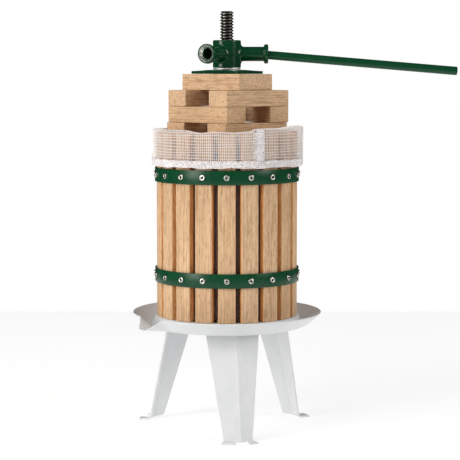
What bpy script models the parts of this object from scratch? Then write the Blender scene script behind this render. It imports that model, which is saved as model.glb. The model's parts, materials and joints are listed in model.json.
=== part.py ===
"""Basket fruit press: a three-legged tray with a fixed screw, a staved basket with a
net bag, and a head with a loose bar that drives a plate and a stack of blocks down.

Metres, +Z up. The model stands on z = 0 with the middle of its box at the origin. All
pieces are placed from an empty on the screw's axis, called the press axis.
Azimuths are in degrees from the front (-Y), positive towards +X.
"""

from math import atan, cos, pi, radians, sin, tan

import bmesh
import bpy
from mathutils import Matrix, Vector

for old in list(bpy.data.objects):
    bpy.data.objects.remove(old, do_unlink=True)

MM = 0.001
GAP = 0.3 * MM  # clearance between faces that touch

# Where the press axis stands from the middle of the footprint.
AXIS_X = -115.814 * MM
AXIS_Y = 0.203 * MM

# Tray: one pressed sheet with a raised platform, a channel round it and a spout.
TRAY_SHEET = 2 * MM
TRAY_RIM_R = 162.4 * MM
TRAY_RIM_Z = 202 * MM
PLATFORM_TOP = 195.5 * MM
PLATFORM_R = 123.5 * MM
CHANNEL_R = 129 * MM
CHANNEL_TOP = 179.5 * MM
SPOUT_AZ = -57.0
SPOUT_FLAT = 2.0  # degrees of full depth on each side of the spout's middle
SPOUT_RISE = {-1: 6.0, 1: 16.0}  # degrees over which each cheek climbs to the rim
SPOUT_STEP = 1.5
SPOUT_R = 171.5 * MM
SPOUT_Z = 181.5 * MM

# Screw and the nuts that hold it in the tray.
SCREW_R = 11.5 * MM
SCREW_BOTTOM = 158 * MM
SCREW_TOP = 716 * MM
NUT_ACROSS = 34 * MM
LOWER_NUT_H = 14 * MM
UPPER_NUT_H = 10 * MM
WASHER_R = 23 * MM
WASHER_H = 2.5 * MM

# Legs: sheet folded to a shallow V with the ridge outwards, unequal halves.
LEG_AZIMUTHS = {"front": 9.2, "rear_left": -115.5, "rear_right": 127.0}
LEG_SHEET = 3 * MM
LEG_FOLD = radians(15)
LEG_RIDGE_FOOT = 147 * MM
LEG_RIDGE_TOP = 101 * MM
LEG_FLANGE_Z = PLATFORM_TOP - TRAY_SHEET - GAP - LEG_SHEET / 2
LEG_HALF_FOOT = {-1: 27.5 * MM, 1: 20 * MM}
LEG_HALF_TOP = {-1: 52.8 * MM, 1: 40.5 * MM}
LEG_NOTCH = 11 * MM
LEG_ARCH_H = 9 * MM
TONGUE_Z = 1.2 * MM
FOOT_REACH = 20 * MM
FOOT_SPREAD = 5.5 * MM
FLANGE_REACH = 24 * MM
BOLT_T = {-1: 32 * MM, 1: 26 * MM}
BOLT_R = 3 * MM
BOLT_HEAD_R = 6.5 * MM
BOLT_HEAD_H = 2.2 * MM
BOLT_NUT_ACROSS = 10 * MM
BOLT_NUT_H = 5 * MM

# Basket: flat staves inside two riveted hoops.
STAVES = 19
STAVE_W = 29.8 * MM
STAVE_T = 11.5 * MM
STAVE_OUT = 120.1 * MM
STAVE_BOTTOM = PLATFORM_TOP + GAP
STAVE_TOP = 512 * MM
HOOP_IN = 121.3 * MM
HOOP_T = 2.5 * MM
HOOP_H = 24 * MM
HOOP_Z = {"lower_hoop": 267 * MM, "upper_hoop": 439 * MM}
HOOP_LAP_HALF = 9.0  # degrees either side of the rear where the strip's ends overlap

# Net bag: lines the basket and folds over its top.
BAG_SHEET = 1 * MM
BAG_IN_R = 106.6 * MM
BAG_FLOOR = PLATFORM_TOP + 4 * MM
BAG_HOLE_R = 24 * MM
BAG_TOP = 515.5 * MM
BAG_FLAP_R = 128.4 * MM
BAG_FLAP_END = 455 * MM

# Press stack: half discs, four rows of blocks and the plate, bottom to top.
STACK_TURN = radians(43.6)
DISC_R = 105 * MM
DISC_Z = 480 * MM
DISC_H = 20 * MM
NOTCH_R = 13.5 * MM
BLOCK_H = 27.5 * MM
BLOCK_L = 146 * MM
BLOCK_W = 44 * MM
TOP_BLOCK_L = 142 * MM
TOP_BLOCK_W = 78 * MM
ROW_SHIFT = 2.5 * MM
PLATE_L = 116 * MM
PLATE_W = 62 * MM
PLATE_H = 4.5 * MM
PLATE_BOSS_L = 62 * MM
PLATE_BOSS_W = 52 * MM
PLATE_BOSS_H = 2.4 * MM

# Head casting and bar.
THRUST_R = 23.5 * MM
THRUST_H = 3.3 * MM
BARREL_R = 24 * MM
BARREL_H = 46.8 * MM
ARM_R = 12.35 * MM
ARM_END = 70.6 * MM
COLLAR_R = 16.5 * MM
COLLAR_W = 7 * MM
SOCKET_R = 9.3 * MM
SOCKET_FLOOR = 23 * MM
SOCKET_CONE_H = 5 * MM
SOCKET_CONE_W = 3.5 * MM
SOCKET_UP = 23.4 * MM
BAR_R = 7.3 * MM
BAR_DROOP = radians(4.8)
BAR_END = 394 * MM
BAR_INSERT = 45 * MM

COLOURS = {
    "green_enamel": ((0.004, 0.062, 0.022), 0.22, 0.0),
    "white_enamel": ((0.76, 0.78, 0.79), 0.35, 0.0),
    "beech": ((0.60, 0.38, 0.20), 0.6, 0.0),
    "screw_steel": ((0.11, 0.10, 0.09), 0.4, 0.9),
    "zinc": ((0.62, 0.61, 0.57), 0.3, 1.0),
    "net": ((0.83, 0.80, 0.78), 0.9, 0.0),
}

axis = bpy.data.objects.new("press_axis", None)
axis.location = (AXIS_X, AXIS_Y, 0)
bpy.context.collection.objects.link(axis)


def material_for(name, kind):
    """A Principled material of its own for one piece."""
    colour, rough, metal = COLOURS[kind]
    made = bpy.data.materials.new(name)
    made.use_nodes = True
    shader = made.node_tree.nodes["Principled BSDF"]
    shader.inputs["Base Color"].default_value = (*colour, 1)
    shader.inputs["Roughness"].default_value = rough
    shader.inputs["Metallic"].default_value = metal
    return made


def add(name, mesh_or_bmesh, kind, smooth=None):
    """Links a piece to the press axis with its material."""
    mesh = mesh_or_bmesh
    if isinstance(mesh, bmesh.types.BMesh):
        bmesh.ops.recalc_face_normals(mesh_or_bmesh, faces=mesh_or_bmesh.faces)
        mesh = bpy.data.meshes.new(name)
        mesh_or_bmesh.to_mesh(mesh)
        mesh_or_bmesh.free()
    if smooth:
        mesh.shade_smooth()
        mesh.set_sharp_from_angle(angle=radians(smooth))
    piece = bpy.data.objects.new(name, mesh)
    piece.parent = axis
    bpy.context.collection.objects.link(piece)
    mesh.materials.append(material_for(name, kind))
    return piece


def place(piece, turn=0.0, at=(0, 0, 0)):
    """Turns a piece about the press axis and moves it."""
    piece.matrix_local = Matrix.Translation(at) @ Matrix.Rotation(turn, 4, "Z")
    return piece


def around(azimuth):
    """The turn that carries the front (-Y) to an azimuth."""
    return radians(azimuth)


def polar(azimuth, radius, z=0.0):
    """A point at an azimuth from the front."""
    a = radians(azimuth)
    return Vector((radius * sin(a), -radius * cos(a), z))


def turned(profile, sides):
    """A closed ring: a closed outline of (radius, z) swept once round the axis."""
    bm = bmesh.new()
    rings = [
        [bm.verts.new(polar(360 * i / sides, r, z)) for r, z in profile]
        for i in range(sides)
    ]
    join_rings(bm, rings, len(profile), closed=True)
    return bm


def join_rings(bm, rings, count, closed):
    """Quads between neighbouring rings, and round each ring when it is closed."""
    for a, b in zip(rings, rings[1:] + rings[:1]):
        for j in range(count if closed else count - 1):
            k = (j + 1) % count
            bm.faces.new((a[j], a[k], b[k], b[j]))


def rod(radius, z0, z1, sides, chamfer=0.0):
    """A solid round bar along Z with chamfered ends."""
    bm = bmesh.new()
    levels = [(radius, z0), (radius, z1)]
    if chamfer:
        levels = [
            (radius - chamfer, z0),
            (radius, z0 + chamfer),
            (radius, z1 - chamfer),
            (radius - chamfer, z1),
        ]
    rings = [
        [bm.verts.new(polar(360 * i / sides, r, z)) for i in range(sides)]
        for r, z in levels
    ]
    for a, b in zip(rings, rings[1:]):
        for i in range(sides):
            j = (i + 1) % sides
            bm.faces.new((a[i], a[j], b[j], b[i]))
    bm.faces.new(rings[0])
    bm.faces.new(rings[-1])
    return bm


def box(length, width, z0, z1):
    """A block centred on the axis, length along X."""
    bm = bmesh.new()
    bmesh.ops.create_cube(bm, size=1)
    bmesh.ops.scale(bm, vec=(length, width, z1 - z0), verts=bm.verts)
    bmesh.ops.translate(bm, vec=(0, 0, (z0 + z1) / 2), verts=bm.verts)
    return bm


def cutter(name, bm):
    """A hidden shape that Booleans use."""
    tool = add(name, bm, "zinc")
    tool.hide_render = True
    tool.display_type = "WIRE"
    return tool


def boolean(piece, tool, operation="DIFFERENCE"):
    """Cuts or joins with an exact Boolean that stays on the piece."""
    made = piece.modifiers.new(operation.lower(), "BOOLEAN")
    made.object = tool
    made.operation = operation
    made.solver = "EXACT"


def bevel(piece, width, segments=1):
    """Breaks the sharp edges."""
    made = piece.modifiers.new("bevel", "BEVEL")
    made.width = width
    made.segments = segments
    made.limit_method = "ANGLE"
    made.angle_limit = radians(40)


def solidify(piece, thickness):
    """Gives a sheet its thickness, half on each side of the modelled surface."""
    made = piece.modifiers.new("solidify", "SOLIDIFY")
    made.thickness = thickness
    made.offset = 0
    made.use_even_offset = True


# ---------------------------------------------------------------- tray


def spout_share(azimuth):
    """0 away from the spout and 1 across its mouth, smooth between."""
    side = 1 if azimuth > SPOUT_AZ else -1
    off = abs(azimuth - SPOUT_AZ) - SPOUT_FLAT
    t = 1 - min(max(off / SPOUT_RISE[side], 0.0), 1.0)
    return t * t * (3 - 2 * t)


def tray_section(azimuth):
    """The sheet's middle surface from the screw hole to the rim, as (radius, z)."""
    share = spout_share(azimuth)
    half = TRAY_SHEET / 2
    floor = CHANNEL_TOP - half
    rim_r = TRAY_RIM_R + share * (SPOUT_R - TRAY_RIM_R)
    rim_z = TRAY_RIM_Z - half + share * (SPOUT_Z - TRAY_RIM_Z)
    points = [
        (SCREW_R + 1.5 * MM, PLATFORM_TOP - half),
        (PLATFORM_R, PLATFORM_TOP - half),
        (PLATFORM_R + 1.8 * MM, PLATFORM_TOP - half - 1.6 * MM),
        (CHANNEL_R - 1.2 * MM, floor + 1.5 * MM),
        (CHANNEL_R + 1 * MM, floor),
    ]
    start = CHANNEL_R + 3 * MM
    for i in range(6):
        t = i / 5
        points.append((start + (rim_r - start) * t, floor + (rim_z - floor) * t**1.35))
    return points


def build_tray():
    """The pressed tray with its bolt holes."""
    fine = [SPOUT_AZ + SPOUT_STEP * i for i in range(-6, 14)]
    clear = fine[-1] - fine[0] + 6.0
    steps = round((360 - clear) / 6)
    start = fine[-1] + 3.0
    azimuths = fine + [start + (360 - clear) * i / steps for i in range(steps + 1)]
    bm = bmesh.new()
    sections = [tray_section(a) for a in azimuths]
    rings = [
        [bm.verts.new(polar(a, r, z)) for r, z in points]
        for a, points in zip(azimuths, sections)
    ]
    join_rings(bm, rings, len(sections[0]), closed=False)
    tray = add("tray", bm, "white_enamel", smooth=50)
    solidify(tray, TRAY_SHEET)
    for leg, azimuth in LEG_AZIMUTHS.items():
        for side in (-1, 1):
            hole = rod(BOLT_R + GAP, PLATFORM_TOP - 8 * MM, PLATFORM_TOP + 8 * MM, 12)
            tool = cutter(f"tray_hole_{leg}_{side}", hole)
            place(tool, at=bolt_place(azimuth, side))
            boolean(tray, tool)


# ---------------------------------------------------------------- legs


def leg_ridge(z):
    """The ridge's distance from the press axis at a height."""
    return LEG_RIDGE_FOOT + (LEG_RIDGE_TOP - LEG_RIDGE_FOOT) * z / LEG_FLANGE_Z


def leg_half(side, z):
    """The leg's half width at a height."""
    foot, top = LEG_HALF_FOOT[side], LEG_HALF_TOP[side]
    return foot + (top - foot) * z / LEG_FLANGE_Z


def bolt_place(azimuth, side):
    """The place of a leg's bolt on the platform, seen from above."""
    t = BOLT_T[side]
    out = LEG_RIDGE_TOP - t * tan(LEG_FOLD) - FLANGE_REACH / 2 - 1.5 * MM
    turn = Matrix.Rotation(around(azimuth), 3, "Z")
    return turn @ Vector((side * t, -out, 0))


def leg_rows():
    """Rows of (outward shift, z, spread) up one half of the leg, foot tip to flange."""
    mid = LEG_SHEET / 2
    return [
        (FOOT_REACH, mid, FOOT_SPREAD),
        (3.5 * MM, mid, FOOT_SPREAD / 4),
        (1.1 * MM, mid + 1 * MM, 0.5 * MM),
        (0, mid + 3.5 * MM, 0),
        (0, mid + 15 * MM, 0),
        (0, LEG_FLANGE_Z - 14 * MM, 0),
        (0, LEG_FLANGE_Z - 5 * MM, 0),
        (-1.6 * MM, LEG_FLANGE_Z - 1.6 * MM, 0),
        (-5 * MM, LEG_FLANGE_Z, 0),
        (-FLANGE_REACH, LEG_FLANGE_Z, 0),
    ]


def build_leg(name, azimuth):
    """One folded leg: two tabs at the foot and two at the tray, parted at the ridge."""
    bm = bmesh.new()
    fold = tan(LEG_FOLD)
    notch = [LEG_NOTCH * k for k in (1.0, 0.75, 0.4)]
    foot_z, top_z = leg_rows()[3][1], leg_rows()[6][1]
    # Between its tabs the sheet ends in a tongue at the foot and an arch at the top.
    edges = {3: TONGUE_Z - foot_z, 6: -LEG_ARCH_H}
    ridge = {}
    for side in (-1, 1):
        grid = []
        for shift, z, spread in leg_rows():
            half = leg_half(side, z) + spread
            across = [half, *notch]
            row = [
                bm.verts.new((side * t, -(leg_ridge(z) + shift - t * fold), z))
                for t in across
            ]
            grid.append(row)
        for low, high in zip(grid, grid[1:]):
            bm.faces.new((low[0], low[1], high[1], high[0]))
        for row, next_row, start_z in ((3, 4, foot_z), (6, 5, top_z)):
            for k, share in ((2, 0.7), (3, 0.95)):
                vert = grid[row][k]
                vert.co.z = start_z + edges[row] * share
                vert.co.y = -(leg_ridge(vert.co.z) - notch[k - 1] * fold)
            bm.faces.new((*grid[row][1:4], *grid[next_row][3:0:-1]))
            if row not in ridge:
                z = start_z + edges[row]
                ridge[row] = bm.verts.new((0, -leg_ridge(z), z))
                z = grid[next_row][1].co.z
                ridge[next_row] = bm.verts.new((0, -leg_ridge(z), z))
            near, far = grid[row][3], grid[next_row][3]
            bm.faces.new((near, ridge[row], ridge[next_row], far))
        bm.faces.new((*grid[4][1:4], ridge[4], ridge[5], *grid[5][3:0:-1]))
        for row in (0, 1, 2, 7, 8, 9):
            for vert in grid[row][2:4]:
                bm.verts.remove(vert)
    leg = add(name, bm, "white_enamel", smooth=30)
    solidify(leg, LEG_SHEET)
    place(leg, around(azimuth))
    for side in (-1, 1):
        hole = rod(BOLT_R + GAP, LEG_FLANGE_Z - 8 * MM, LEG_FLANGE_Z + 8 * MM, 12)
        tool = cutter(f"{name}_hole_{side}", hole)
        place(tool, at=bolt_place(azimuth, side))
        boolean(leg, tool)


def build_leg_bolts(leg, azimuth):
    """Two dome-headed bolts through the platform and the leg's tabs, with nuts."""
    under = LEG_FLANGE_Z - LEG_SHEET / 2 - GAP
    for side, word in ((-1, "left"), (1, "right")):
        head_z = PLATFORM_TOP + GAP
        profile = [
            (BOLT_R, under - BOLT_NUT_H - 3 * MM),
            (BOLT_R, head_z),
            (BOLT_HEAD_R, head_z),
            (BOLT_HEAD_R * 0.8, head_z + BOLT_HEAD_H * 0.7),
            (BOLT_HEAD_R * 0.4, head_z + BOLT_HEAD_H),
        ]
        bolt = add(f"{leg}_bolt_{word}", lathe_solid(profile, 12), "zinc", smooth=40)
        place(bolt, at=bolt_place(azimuth, side))
        nut = hex_nut(BOLT_NUT_ACROSS, BOLT_R + GAP, under - BOLT_NUT_H, under)
        place(add(f"{leg}_nut_{word}", nut, "zinc"), at=bolt_place(azimuth, side))


def lathe_solid(profile, sides):
    """A solid of revolution from (radius, z) points, capped flat at both ends."""
    bm = bmesh.new()
    rings = [
        [bm.verts.new(polar(360 * i / sides, r, z)) for i in range(sides)]
        for r, z in profile
    ]
    for a, b in zip(rings, rings[1:]):
        for i in range(sides):
            j = (i + 1) % sides
            bm.faces.new((a[i], a[j], b[j], b[i]))
    bm.faces.new(rings[0])
    bm.faces.new(rings[-1])
    return bm


def hex_nut(across, hole_r, z0, z1):
    """A hexagonal nut with a round hole."""
    bm = bmesh.new()
    sides = 24
    corner = across / 2 / cos(pi / 6)

    def hex_radius(azimuth):
        return corner * cos(pi / 6) / cos(radians(azimuth % 60 - 30))

    rings = []
    for i in range(sides):
        a = 360 * i / sides
        ends = [(hole_r, z0), (hex_radius(a), z0), (hex_radius(a), z1), (hole_r, z1)]
        rings.append([bm.verts.new(polar(a, r, z)) for r, z in ends])
    join_rings(bm, rings, 4, closed=True)
    return bm


# ---------------------------------------------------------------- screw


def build_screw():
    """The fixed screw as a bar of its crest diameter, with washer and two nuts."""
    screw = rod(SCREW_R, SCREW_BOTTOM, SCREW_TOP, 32, chamfer=1.5 * MM)
    add("screw", screw, "screw_steel", smooth=40)
    under = PLATFORM_TOP - TRAY_SHEET - GAP
    hole = SCREW_R + GAP
    z0, z1 = under - WASHER_H, under
    washer = turned([(hole, z0), (WASHER_R, z0), (WASHER_R, z1), (hole, z1)], 24)
    add("screw_washer", washer, "zinc", smooth=40)
    top = z0 - GAP
    lower = hex_nut(NUT_ACROSS, hole, top - LOWER_NUT_H, top)
    add("screw_lower_nut", lower, "screw_steel")
    base = PLATFORM_TOP + GAP
    upper = hex_nut(NUT_ACROSS, hole, base, base + UPPER_NUT_H)
    add("screw_upper_nut", upper, "screw_steel")


# ---------------------------------------------------------------- basket


def build_basket():
    """Nineteen staves and two hoops of strip, whose ends lap at the rear."""
    for k in range(STAVES):
        stave = box(STAVE_W, STAVE_T, STAVE_BOTTOM, STAVE_TOP)
        bmesh.ops.translate(stave, vec=(0, STAVE_T / 2 - STAVE_OUT, 0), verts=stave.verts)
        piece = add(f"stave_{k + 1:02d}", stave, "beech")
        bevel(piece, 1.2 * MM)
        place(piece, around(360 * k / STAVES))
    sides = 4 * STAVES
    for name, middle in HOOP_Z.items():
        bm = bmesh.new()
        rings = []
        for i in range(sides):
            azimuth = 360 * i / sides
            lapped = abs(azimuth - 180) < HOOP_LAP_HALF
            outer = HOOP_IN + HOOP_T * (2 if lapped else 1)
            z0, z1 = middle - HOOP_H / 2, middle + HOOP_H / 2
            ends = [(HOOP_IN, z0), (outer, z0), (outer, z1), (HOOP_IN, z1)]
            rings.append([bm.verts.new(polar(azimuth, r, z)) for r, z in ends])
        join_rings(bm, rings, 4, closed=True)
        add(name, bm, "green_enamel", smooth=30)


def build_bag():
    """The net bag's shell: floor, lining, fold over the staves and outer flap."""
    s = BAG_SHEET
    lining = BAG_IN_R + s
    fold = [
        (lining + 1.5 * MM, BAG_TOP - 1.2 * MM),
        (BAG_FLAP_R - s - 1.5 * MM, BAG_TOP - 1.2 * MM),
    ]
    inner = [
        (BAG_HOLE_R, BAG_FLOOR + s),
        (BAG_IN_R - 6 * MM, BAG_FLOOR + s),
        (BAG_IN_R, BAG_FLOOR + 7 * MM),
        (BAG_IN_R, BAG_TOP - 2 * MM),
        (BAG_IN_R + 2 * MM, BAG_TOP),
        (BAG_FLAP_R - 2 * MM, BAG_TOP),
        (BAG_FLAP_R, BAG_TOP - 2.5 * MM),
        (BAG_FLAP_R, BAG_FLAP_END),
    ]
    outer = [
        (BAG_FLAP_R - s, BAG_FLAP_END),
        (BAG_FLAP_R - s, BAG_TOP - 3 * MM),
        fold[1],
        fold[0],
        (lining, BAG_TOP - 3 * MM),
        (lining, BAG_FLOOR + 6.5 * MM),
        (lining - 6.5 * MM, BAG_FLOOR),
        (BAG_HOLE_R, BAG_FLOOR),
    ]
    add("filter_bag", turned(inner + outer, 48), "net", smooth=50)


# ---------------------------------------------------------------- press stack


def build_discs():
    """Two half discs with a notch round the screw, split across the lowest blocks."""
    steps = 28
    for name, side in (("half_disc_left", 1), ("half_disc_right", -1)):
        bm = bmesh.new()
        split = GAP
        start = atan(split / DISC_R)
        outline = []
        for i in range(steps + 1):
            a = start + (pi - 2 * start) * i / steps
            outline.append((DISC_R * cos(a), DISC_R * sin(a)))
        bite = atan(split / NOTCH_R)
        for i in range(11):
            a = pi - bite - (pi - 2 * bite) * i / 10
            outline.append((NOTCH_R * cos(a), NOTCH_R * sin(a)))
        z1 = DISC_Z + DISC_H - GAP
        low = [bm.verts.new((x, side * y, DISC_Z)) for x, y in outline]
        high = [bm.verts.new((x, side * y, z1)) for x, y in outline]
        bm.faces.new(low)
        bm.faces.new(high)
        for i in range(len(low)):
            j = (i + 1) % len(low)
            bm.faces.new((low[i], low[j], high[j], high[i]))
        piece = add(name, bm, "beech", smooth=30)
        place(piece, STACK_TURN + pi / 2)


def build_blocks():
    """Three rows of paired blocks, crossed, and one wide block on top."""
    base = DISC_Z + DISC_H
    off = (BLOCK_L - BLOCK_W) / 2
    rows = ((0, 0.0), (pi / 2, ROW_SHIFT), (0, ROW_SHIFT))
    for i, (turn, shift) in enumerate(rows):
        z0 = base + i * BLOCK_H
        for side, word in ((-1, "near"), (1, "far")):
            block = box(BLOCK_L, BLOCK_W, z0, z0 + BLOCK_H - GAP)
            bmesh.ops.translate(block, vec=(0, side * off, 0), verts=block.verts)
            piece = add(f"block_row{i + 1}_{word}", block, "beech")
            bevel(piece, 1.0 * MM)
            place(piece, STACK_TURN + turn, (shift, 0, 0))
    z0 = base + 3 * BLOCK_H
    top = add("block_top", box(TOP_BLOCK_W, TOP_BLOCK_L, z0, z0 + BLOCK_H - GAP), "beech")
    bevel(top, 1.0 * MM)
    hole = cutter("block_top_hole", rod(NOTCH_R, z0 - 0.01, z0 + 0.04, 24))
    boolean(top, hole)
    place(top, STACK_TURN)


def build_plate():
    """The cast press plate: a rectangular foot under a bevelled boss."""
    z0 = DISC_Z + DISC_H + 4 * BLOCK_H
    levels = [
        (PLATE_W, PLATE_L, z0),
        (PLATE_W, PLATE_L, z0 + PLATE_H - 1.2 * MM),
        (PLATE_W - 3 * MM, PLATE_L - 3 * MM, z0 + PLATE_H),
        (PLATE_BOSS_W, PLATE_BOSS_L, z0 + PLATE_H + PLATE_BOSS_H - GAP),
    ]
    bm = bmesh.new()
    rings = []
    for width, length, z in levels:
        w, h = width / 2, length / 2
        cut = 4 * MM
        outline = [
            (w - cut, -h), (w, cut - h), (w, h - cut), (w - cut, h),
            (cut - w, h), (-w, h - cut), (-w, cut - h), (cut - w, -h),
        ]
        rings.append([bm.verts.new((x, y, z)) for x, y in outline])
    for a, b in zip(rings, rings[1:]):
        for i in range(8):
            j = (i + 1) % 8
            bm.faces.new((a[i], a[j], b[j], b[i]))
    bm.faces.new(rings[0])
    bm.faces.new(rings[-1])
    plate = add("press_plate", bm, "green_enamel")
    hole = cutter("press_plate_hole", rod(SCREW_R + 1 * MM, z0 - 0.01, z0 + 0.03, 24))
    boolean(plate, hole)
    place(plate, STACK_TURN)
    base = z0 + PLATE_H + PLATE_BOSS_H
    inner, top = SCREW_R + GAP, base + THRUST_H - GAP
    ring = turned([(inner, base), (THRUST_R, base), (THRUST_R, top), (inner, top)], 24)
    add("thrust_washer", ring, "zinc", smooth=40)
    return base + THRUST_H


# ---------------------------------------------------------------- head and bar


def build_head(base):
    """The cast head: a barrel on the screw with three arms, each a socket for the bar."""
    z1 = base + BARREL_H
    barrel = [
        (BARREL_R - 1 * MM, base),
        (BARREL_R, base + 1.5 * MM),
        (BARREL_R, z1 - 2 * MM),
        (BARREL_R - 2 * MM, z1),
    ]
    head = add("head", lathe_solid(barrel, 40), "green_enamel", smooth=40)
    up = base + SOCKET_UP
    collar = ARM_END - COLLAR_W
    arm = [
        (ARM_R, 2 * MM),
        (ARM_R, collar - 1 * MM),
        (COLLAR_R, collar + 1.2 * MM),
        (COLLAR_R, ARM_END - 1.8 * MM),
        (COLLAR_R - 1.8 * MM, ARM_END),
    ]
    socket = [
        (SOCKET_R, SOCKET_FLOOR),
        (SOCKET_R, ARM_END - SOCKET_CONE_H),
        (SOCKET_R + SOCKET_CONE_W * 1.2, ARM_END + SOCKET_CONE_H * 0.2),
    ]
    tools = []
    for i in range(3):
        lie = Matrix.Translation((0, 0, up)) @ Matrix.Rotation(i * 2 * pi / 3, 4, "Z")
        lie = lie @ Matrix.Rotation(pi / 2, 4, "Y")
        out = cutter(f"head_arm_{i}", lathe_solid(arm, 24))
        out.matrix_local = lie
        boolean(head, out, "UNION")
        bore = cutter(f"head_socket_{i}", lathe_solid(socket, 24))
        bore.matrix_local = lie
        tools.append(bore)
    for tool in tools:
        boolean(head, tool)
    boolean(head, cutter("head_bore", rod(SCREW_R + GAP, base - 0.01, z1 + 0.01, 32)))
    return up


def build_bar(up):
    """The loose bar, tilted by its slack in the socket."""
    middle = ARM_END - BAR_INSERT / 2
    inner = -BAR_INSERT / 2
    outer = (BAR_END - middle) / cos(BAR_DROOP)
    bar = add("handle_bar", rod(BAR_R, inner, outer, 28, 1.2 * MM), "green_enamel", 40)
    lie = Matrix.Rotation(pi / 2 + BAR_DROOP, 4, "Y")
    bar.matrix_local = Matrix.Translation((middle, 0, up)) @ lie


build_tray()
for leg_name, leg_azimuth in LEG_AZIMUTHS.items():
    build_leg(f"{leg_name}_leg", leg_azimuth)
    build_leg_bolts(f"{leg_name}_leg", leg_azimuth)
build_screw()
build_basket()
build_bag()
build_discs()
build_blocks()
head_base = build_plate()
build_bar(build_head(head_base))
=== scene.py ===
"""The looks of a basket fruit press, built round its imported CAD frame.

Metres, in the row frame. Round pieces are built about the screw's axis and moved there.
Azimuths are in degrees from the front (-Y), positive towards +X.
"""

import json
import random
from math import cos, degrees, hypot, pi, radians, sin, tan

import bmesh
import bpy
import numpy as np
import openvdb
from mathutils import Matrix, Vector

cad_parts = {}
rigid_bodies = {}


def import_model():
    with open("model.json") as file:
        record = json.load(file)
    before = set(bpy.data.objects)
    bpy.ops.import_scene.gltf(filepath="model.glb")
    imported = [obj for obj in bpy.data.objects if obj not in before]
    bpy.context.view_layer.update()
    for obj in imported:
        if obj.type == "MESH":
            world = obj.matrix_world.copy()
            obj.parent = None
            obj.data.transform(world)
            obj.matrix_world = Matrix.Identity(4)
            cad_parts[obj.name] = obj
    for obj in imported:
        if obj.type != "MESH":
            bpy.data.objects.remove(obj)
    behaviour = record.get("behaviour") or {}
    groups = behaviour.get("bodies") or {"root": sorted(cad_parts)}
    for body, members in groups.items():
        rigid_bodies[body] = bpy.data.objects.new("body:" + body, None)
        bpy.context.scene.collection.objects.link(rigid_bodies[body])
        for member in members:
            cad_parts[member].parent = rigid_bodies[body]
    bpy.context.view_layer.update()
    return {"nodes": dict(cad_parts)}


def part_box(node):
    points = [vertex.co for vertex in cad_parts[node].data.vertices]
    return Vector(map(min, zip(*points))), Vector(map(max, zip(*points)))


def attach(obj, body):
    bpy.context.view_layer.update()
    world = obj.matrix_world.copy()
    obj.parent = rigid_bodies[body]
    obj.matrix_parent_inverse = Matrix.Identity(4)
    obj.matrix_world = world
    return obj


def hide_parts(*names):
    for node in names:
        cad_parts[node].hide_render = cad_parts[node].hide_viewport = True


for old in list(bpy.data.objects):
    bpy.data.objects.remove(old, do_unlink=True)

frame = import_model()

MM = 0.001
chance = random.Random(7)

# ---- sizes from the frame


SCREW_LOW, SCREW_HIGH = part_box("screw")
AXIS = (SCREW_LOW + SCREW_HIGH) / 2
AXIS.z = 0
SCREW_R = (SCREW_HIGH.x - SCREW_LOW.x) / 2
STAVES = sum(name.startswith("stave_") for name in frame["nodes"])
STAVE_LOW, STAVE_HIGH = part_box("stave_01")
STAVE_OUT = AXIS.y - STAVE_LOW.y
STAVE_T = STAVE_HIGH.y - STAVE_LOW.y
STAVE_W = STAVE_HIGH.x - STAVE_LOW.x
HOOP_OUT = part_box("upper_hoop")[1].x - AXIS.x
HOOP_T = 2.5 * MM
PLATFORM_TOP = STAVE_LOW.z - 0.3 * MM
RIM_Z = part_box("tray")[1].z


# ---- mesh helpers


def polar(azimuth, radius, z=0.0):
    """A point about the screw's axis, at an azimuth from the front."""
    a = radians(azimuth)
    return Vector((radius * sin(a), -radius * cos(a), z))


def facing(azimuth):
    """Unit vectors outwards and sideways at an azimuth."""
    a = radians(azimuth)
    return Vector((sin(a), -cos(a), 0)), Vector((cos(a), sin(a), 0))


def quarter(steps, first=0):
    """Sine and 1 - cosine at even steps through a quarter turn."""
    turns = (pi / 2 * i / steps for i in range(first, steps + 1))
    return [(sin(a), 1 - cos(a)) for a in turns]


def smooth_step(value):
    """0 below 0, 1 above 1, and an even S between."""
    t = min(max(value, 0.0), 1.0)
    return t * t * (3 - 2 * t)


def to_mesh(bm, name):
    """A bmesh as a mesh."""
    mesh = bpy.data.meshes.new(name)
    bm.to_mesh(mesh)
    bm.free()
    return mesh


def to_bmesh(verts, faces):
    """Lists of points and faces as a bmesh."""
    mesh = bpy.data.meshes.new("raw")
    mesh.from_pydata(verts, [], faces)
    bm = bmesh.new()
    bm.from_mesh(mesh)
    bpy.data.meshes.remove(mesh)
    return bm


def link(name, data):
    """A new object in the scene."""
    made = bpy.data.objects.new(name, data)
    bpy.context.scene.collection.objects.link(made)
    return made


def piece(name, mesh, body, stands_for=(), at=AXIS, turn=0.0, sharp=40.0):
    """Links a mesh as a piece that rides on a body and replaces CAD nodes."""
    if isinstance(mesh, bmesh.types.BMesh):
        bmesh.ops.recalc_face_normals(mesh, faces=mesh.faces)
        mesh = to_mesh(mesh, name)
    mesh.shade_smooth()
    mesh.set_sharp_from_angle(angle=radians(sharp))
    made = link(name, mesh)
    made.matrix_world = Matrix.Translation(at) @ Matrix.Rotation(turn, 4, "Z")
    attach(made, body)
    if stands_for:
        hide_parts(*stands_for)
    return made


def paint(made, material):
    """Gives a piece its one material."""
    made.data.materials.clear()
    made.data.materials.append(material)
    return made


def bevel(made, width, segments=3, angle=35.0):
    """Rounds the sharp edges."""
    added = made.modifiers.new("bevel", "BEVEL")
    added.width = width
    added.segments = segments
    added.limit_method = "ANGLE"
    added.angle_limit = radians(angle)
    added.harden_normals = True


def solidify(made, thickness):
    """Gives a sheet its thickness, half on each side."""
    added = made.modifiers.new("solidify", "SOLIDIFY")
    added.thickness = thickness
    added.offset = 0
    added.use_even_offset = True


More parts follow.
